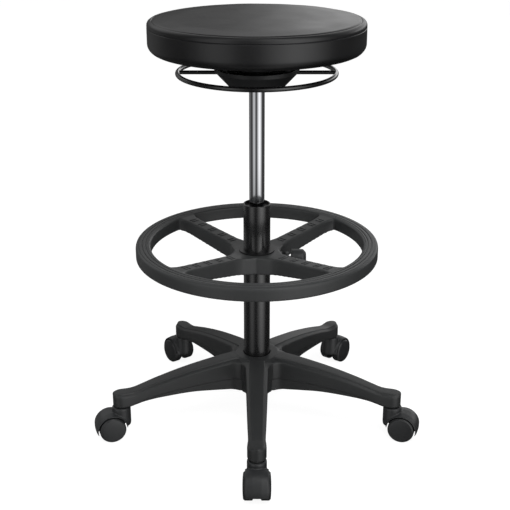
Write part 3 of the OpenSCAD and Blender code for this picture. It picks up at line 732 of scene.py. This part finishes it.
def column_and_lift():
    """The painted outer tube and the chrome tube with its taper."""
    bm = bmesh.new()
    turned(bm, rounded([
        (0.0240, tube_low.z, 0.0006), (COLUMN_R, 0.130, 0), (COLUMN_R, tube_high.z, 0.0009),
        (COLUMN_R - 0.002, tube_high.z, 0.0006), (COLUMN_R - 0.002, tube_high.z - 0.02, 0),
        (COLUMN_R - 0.002, 0.130, 0), (0.0220, tube_low.z + 0.003, 0),
        (0.0052, tube_low.z + 0.003, 0),
        (0.0052, tube_low.z, 0),
    ]), 128, closed=True)
    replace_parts(finish_piece(bm, "painted_column", "column_paint", "base"), "outer_tube")
    bm = bmesh.new()
    taper = chrome_high.z - 0.046
    turned(bm, rounded([
        (CHROME_R - 0.0025, chrome_low.z, 0), (CHROME_R, chrome_low.z, 0.0005),
        (CHROME_R, taper, 0),
        (CHROME_R - 0.0009, chrome_high.z, 0.0005), (0.0046, chrome_high.z, 0),
        (0.0046, chrome_high.z - 0.014, 0), (CHROME_R - 0.0025, chrome_high.z - 0.014, 0),
    ]), 128, closed=True)
    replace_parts(finish_piece(bm, "chrome_lift_tube", "chrome", "seat"), "pressure_tube")


def release_wire():
    """The bent ring and its cross bars, which are welded to it."""
    bm = bmesh.new()
    thick = 4.25 * MM
    radius = ring_high.x - thick
    around = [(radius + thick * math.cos(a), RELEASE_Z + thick * math.sin(a))
              for a in (FULL_TURN * i / 24 for i in range(24))]
    turned(bm, around, 192, closed=True)
    for side in (-1, 1):
        bar = bmesh.new()
        rod(bar, (side * 0.032, 0, RELEASE_Z), (side * radius, 0, RELEASE_Z), 3.5 * MM, 32)
        bm = merged([bm, bar])
    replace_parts(finish_piece(bm, "release_wire_ring", "ring_paint", "release_ring"), "release_ring")


def knob():
    """The clamp's knob: a smooth turned grip with an eased end."""
    bm = bmesh.new()
    length, radius = knob_high.x - knob_low.x, knob_high.z - CLAMP_Z
    turned(bm, rounded([(0, 0, 0), (radius, 0, 0.0012), (radius, length * 0.8, 0.004),
                        (radius * 0.62, length, 0.004), (0, length, 0)]), 96)
    place = Matrix.Translation((knob_low.x, 0, CLAMP_Z)) @ Matrix.Rotation(math.radians(90), 4, "Y")
    bmesh.ops.transform(bm, matrix=place, verts=bm.verts)
    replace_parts(finish_piece(bm, "round_clamp_knob", "knob_plastic", "clamp_knob"), "clamp_knob")


# ---------- seat ----------

TOP_SEAM_R = SEAT_R - 8.5 * MM
SIDE_STITCH_Z = seat_high.z - 11 * MM
STITCH_PITCH = 5 * MM


def seat_outline(seams):
    """The cushion's outline from its top centre to the recess that takes the board."""
    top, low = seat_high.z, seat_low.z
    corners = [(0, top, 0)] + [(SEAT_R * k / 24, top, 0) for k in range(1, 23)]
    if seams:
        corners += [(TOP_SEAM_R - 1.0 * MM, top, 0), (TOP_SEAM_R, top - 1.4 * MM, 0),
                    (TOP_SEAM_R + 1.0 * MM, top - 0.7 * MM, 0.0004)]
    corners += [(SEAT_R - 0.4 * MM, top - 1.2 * MM, 0.0068)]
    if seams:
        corners += [(SEAT_R, SIDE_STITCH_Z + 1.2 * MM, 0.0004),
                    (SEAT_R - 1.0 * MM, SIDE_STITCH_Z, 0),
                    (SEAT_R, SIDE_STITCH_Z - 1.2 * MM, 0.0004)]
    corners += [(SEAT_R, SIDE_STITCH_Z - (4 + 3 * k) * MM, 0) for k in range(7)]
    corners += [(SEAT_R, low, 0.016)]
    return corners


CAGE_VOXEL = 6 * MM
FOAM_PRESSURE = 4
PUFF_FRAMES = 20
PUFF_LIMIT = 2.5 * MM


def puffed_cage():
    """Where the cover's panels go when the foam presses on them: cloth held at its seams."""
    bm = bmesh.new()
    turned(bm, rounded(seat_outline(False) + [(0, seat_low.z, 0)], 8), 96)
    scratch = solid_object(bm, "scratch_cushion")
    remesh = scratch.modifiers.new("remesh", "REMESH")
    remesh.mode = "VOXEL"
    remesh.voxel_size = CAGE_VOXEL
    cage = solid_object(baked(scratch), "scratch_cage")
    held = cage.vertex_groups.new(name="held")
    for v in cage.data.vertices:
        radius = math.hypot(v.co.x, v.co.y)
        at_seam = abs(radius - TOP_SEAM_R) < 4 * MM and v.co.z > seat_high.z - 6 * MM
        at_stitch = abs(v.co.z - SIDE_STITCH_Z) < 3 * MM
        if at_seam or at_stitch or v.co.z < seat_low.z + 6 * MM:
            held.add([v.index], 1.0, "REPLACE")
    rest = [v.co.copy() for v in cage.data.vertices]
    cloth = cage.modifiers.new("cloth", "CLOTH")
    cloth.settings.use_pressure = True
    cloth.settings.uniform_pressure_force = FOAM_PRESSURE
    cloth.settings.vertex_group_mass = "held"
    cloth.settings.effector_weights.gravity = 0
    cloth.settings.quality = 6
    scene = bpy.context.scene
    scene.frame_start, scene.frame_end = 1, PUFF_FRAMES
    cloth.point_cache.frame_start, cloth.point_cache.frame_end = 1, PUFF_FRAMES
    for number in range(1, PUFF_FRAMES + 1):
        scene.frame_set(number)
    graph = bpy.context.evaluated_depsgraph_get()
    moved = [v.co.copy() for v in cage.evaluated_get(graph).data.vertices]
    scene.frame_set(1)
    bpy.data.objects.remove(cage)
    return rest, moved


def upholstered_seat():
    """The cushion: top panel, rolled edge and side band, sewn twice and turned under the board."""
    corners = seat_outline(True)
    low, board_top = seat_low.z, board_high.z
    corners += [(BOARD_R - 15 * MM, low, 0), (BOARD_R - 15 * MM, low + 0.7 * MM, 0),
                (BOARD_R + 0.2 * MM, low + 0.7 * MM, 0),
                (BOARD_R + 0.2 * MM, board_top + 0.2 * MM, 0),
                (0, board_top + 0.2 * MM, 0)]
    bm = bmesh.new()
    turned(bm, rounded(corners, 8), 288)
    rest, moved = puffed_cage()
    tree = KDTree(len(rest))
    for i, point in enumerate(rest):
        tree.insert(point, i)
    tree.balance()
    for v in bm.verts:
        radius = math.hypot(v.co.x, v.co.y)
        outside = v.co.z > low + 2 * MM and (radius > BOARD_R + 1 * MM
                                             or v.co.z > board_top + 3 * MM)
        if not outside:
            continue
        shift, weight = Vector(), 0.0
        for _, index, distance in tree.find_n(v.co, 6):
            share = 1 / (distance + 1 * MM)
            shift += (moved[index] - rest[index]) * share
            weight += share
        shift /= weight
        if shift.length > PUFF_LIMIT:
            shift *= PUFF_LIMIT / shift.length
        v.co += shift
        # Slow unevenness of the foam under the skin
        out = Vector((v.co.x, v.co.y, 0)).normalized()
        uneven = noise.noise(v.co * 22) * 0.35 * MM
        side = radius > SEAT_R - 3 * MM
        v.co += out * uneven if side else Vector((0, 0, uneven))
    cushion = finish_piece(bm, "upholstered_cushion", "vinyl", "seat", 60)
    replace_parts(cushion, "seat_cover", "foam_pad")
    return cushion


def seam_stitches():
    """Thread showing along the side seam, one stitch every few millimetres."""
    bm = bmesh.new()
    count = round(FULL_TURN * SEAT_R / STITCH_PITCH)
    chooser = random.Random(7)
    for i in range(count):
        angle = FULL_TURN * (i + chooser.uniform(-0.06, 0.06)) / count
        height = SIDE_STITCH_Z + chooser.uniform(-0.1, 0.1) * MM
        where = turn_z(angle) @ Vector((SEAT_R - 0.5 * MM, 0, height))
        lay = turn_z(angle) @ Matrix.Diagonal((0.35 * MM, 1.5 * MM, 0.35 * MM, 1))
        bmesh.ops.create_icosphere(bm, subdivisions=1, radius=1,
                                   matrix=Matrix.Translation(where) @ lay)
    finish_piece(bm, "seam_stitches", "vinyl", "seat", 80, THREAD)


def dust_cloth():
    """The cloth stapled under the board, drawn tight and slightly quilted by its staples."""
    bm = bmesh.new()
    radius = BOARD_R - 16.2 * MM
    turned(bm, [(radius * k / 40, seat_low.z + 0.25 * MM) for k in range(41)], 96)
    for v in bm.verts:
        v.co.z += 0.12 * MM * noise.noise(v.co * 45)
    bmesh.ops.solidify(bm, geom=bm.faces[:], thickness=0.4 * MM)
    cloth = finish_piece(bm, "stapled_dust_cloth", "dust_cloth", "seat")
    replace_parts(cloth, "under_cloth")


# ---------- room, light and camera ----------

# Upright softboxes: heading of the middle from the camera's side towards +X, reach to either side
# in degrees, and brightness. The first is the key, the second the fill and the third a rim light
SOFTBOXES = [(40, 48, 1.35), (-42, 34, 0.65), (-128, 45, 0.14)]
DARK_WALLS = 0.06
# The panel behind the stool: its brightness low down on the right, and all across higher up
PANEL = 1.25
PANEL_HIGH = 0.45
# The floor's glow as the camera sees it, and the glow's share against the lit surface
FLOOR_GLOW = 1.24
FLOOR_GLOW_SHARE = 0.74


def span(tree, value, start, end, low=0.0, high=1.0):
    """A smooth step of value from low at start to high at end."""
    node = add(tree, "ShaderNodeMapRange",
               {"interpolation_type": "SMOOTHSTEP", "From Min": start, "From Max": end,
                "To Min": low, "To Max": high}, {"Value": value})
    return node.outputs["Result"]


def maths(tree, operation, *terms):
    """An operation on numbers or sockets."""
    node = add(tree, "ShaderNodeMath", {"operation": operation})
    for i, term in enumerate(terms):
        if isinstance(term, (int, float)):
            node.inputs[i].default_value = term
        else:
            tree.node_tree.links.new(term, node.inputs[i])
    return node.outputs["Value"]


def dark_studio():
    """White to the camera; to all else dark walls, three upright softboxes and a panel behind."""
    world = bpy.data.worlds.new("dark_studio")
    bpy.context.scene.world = world
    world.use_nodes = True
    toward = add(world, "ShaderNodeTexCoord").outputs["Generated"]
    x, y, z = add(world, "ShaderNodeSeparateXYZ", {}, {0: toward}).outputs
    heading = maths(world, "ARCTAN2", x, maths(world, "MULTIPLY", y, -1.0))
    glow = DARK_WALLS
    for middle, reach, bright in SOFTBOXES:
        aside = maths(world, "ABSOLUTE", maths(world, "SUBTRACT", heading, math.radians(middle)))
        glow = maths(world, "ADD", glow, span(world, aside, math.radians(reach), 0, 0.0, bright))
    # The boxes stand on the floor, so they fade towards their feet
    glow = maths(world, "MULTIPLY", glow, span(world, z, -0.52, -0.32, 0.3, 1.0))
    # Low down, the panel is dark on the left and bright on the right; higher up it is even
    high_up = span(world, z, 0.20, 0.36)
    across = span(world, x, -0.02, 0.09, 0.0, PANEL)
    low_down = maths(world, "MULTIPLY", across, maths(world, "SUBTRACT", 1.0, high_up))
    even = maths(world, "ADD", low_down,
                 maths(world, "MULTIPLY", high_up, PANEL_HIGH))
    behind = maths(world, "MULTIPLY", span(world, y, 0.25, 0.6), span(world, z, 0.0, 0.07))
    under_top = span(world, z, 0.62, 0.85, 1.0, 0.0)
    panel = maths(world, "MULTIPLY", even, maths(world, "MULTIPLY", behind, under_top))
    glow = maths(world, "ADD", glow, panel)
    seen = add(world, "ShaderNodeLightPath").outputs["Is Camera Ray"]
    unseen = maths(world, "SUBTRACT", 1.0, seen)
    strength = maths(world, "MAXIMUM", maths(world, "MULTIPLY", glow, unseen), seen)
    background = world.node_tree.nodes["Background"]
    background.inputs["Color"].default_value = (1, 1, 1, 1)
    world.node_tree.links.new(strength, background.inputs["Strength"])


# Square lamps: name, place, side in metres and power in watts
LAMPS = [("soft_overhead", (0.4, -0.9, 2.0), 1.2, 34), ("soft_left", (-1.6, -0.6, 0.9), 0.9, 8)]
LAMPS_AIM = Vector((0, 0, 0.35))


def studio():
    """A pale floor, which glossy surfaces look past, in the dark studio."""
    floor_mesh = bpy.data.meshes.new("studio_floor")
    bm = bmesh.new()
    bmesh.ops.create_grid(bm, x_segments=1, y_segments=1, size=8)
    bm.to_mesh(floor_mesh)
    bm.free()
    floor = bpy.data.objects.new("studio_floor", floor_mesh)
    floor.visible_glossy = False
    bpy.context.scene.collection.objects.link(floor)
    mat, shader, _ = new_material("pale_floor", 0.9)
    shader.inputs["Base Color"].default_value = linear("#eeeeee")
    seen = add(mat, "ShaderNodeLightPath").outputs["Is Camera Ray"]
    lit = add(mat, "ShaderNodeEmission", {"Strength": FLOOR_GLOW})
    share = maths(mat, "MULTIPLY", seen, FLOOR_GLOW_SHARE)
    mix = add(mat, "ShaderNodeMixShader", {},
              {0: share, 1: shader.outputs["BSDF"], 2: lit.outputs["Emission"]})
    surface = mat.node_tree.nodes["Material Output"].inputs["Surface"]
    mat.node_tree.links.new(mix.outputs["Shader"], surface)
    floor_mesh.materials.append(mat)
    for name, place, size, power in LAMPS:
        light = bpy.data.lights.new(name, "AREA")
        light.shape, light.size, light.energy = "SQUARE", size, power
        lamp = bpy.data.objects.new(name, light)
        lamp.location = place
        toward = LAMPS_AIM - Vector(place)
        lamp.rotation_euler = toward.to_track_quat("-Z", "Y").to_euler()
        # Matt surfaces take its light, and polished ones show only the softboxes
        lamp.visible_camera = lamp.visible_glossy = False
        bpy.context.scene.collection.objects.link(lamp)
    dark_studio()
    bpy.context.scene.view_settings.view_transform = "Standard"


CAMERA_PLACE = (0, -1.830, 1.0615)
CAMERA_LOOKS_DOWN = 0.372
LENS_MM = 74.16


def camera():
    """A long lens in front of the stool, looking down at it, with a small shift."""
    lens = bpy.data.cameras.new("camera")
    lens.sensor_width = 36
    lens.lens = LENS_MM
    lens.shift_x, lens.shift_y = -0.0037, -0.0098
    cam = bpy.data.objects.new("camera", lens)
    cam.location = CAMERA_PLACE
    cam.rotation_euler = (math.pi / 2 - CAMERA_LOOKS_DOWN, 0, 0)
    bpy.context.scene.collection.objects.link(cam)
    bpy.context.scene.camera = cam


def cad_finishes():
    """Every carried-over node takes the finish that the record gives it."""
    slots = {row["node"]: row["material_slot"] for row in frame["record"]["subparts"]}
    for name, node in frame["nodes"].items():
        node.data.materials.clear()
        node.data.materials.append(FINISHES[slots[name]])


camera()
studio()
cad_finishes()
moulded_base()
moulded_foot_ring()
tread_ribs()
casters()
column_and_lift()
release_wire()
knob()
upholstered_seat()
seam_stitches()
dust_cloth()
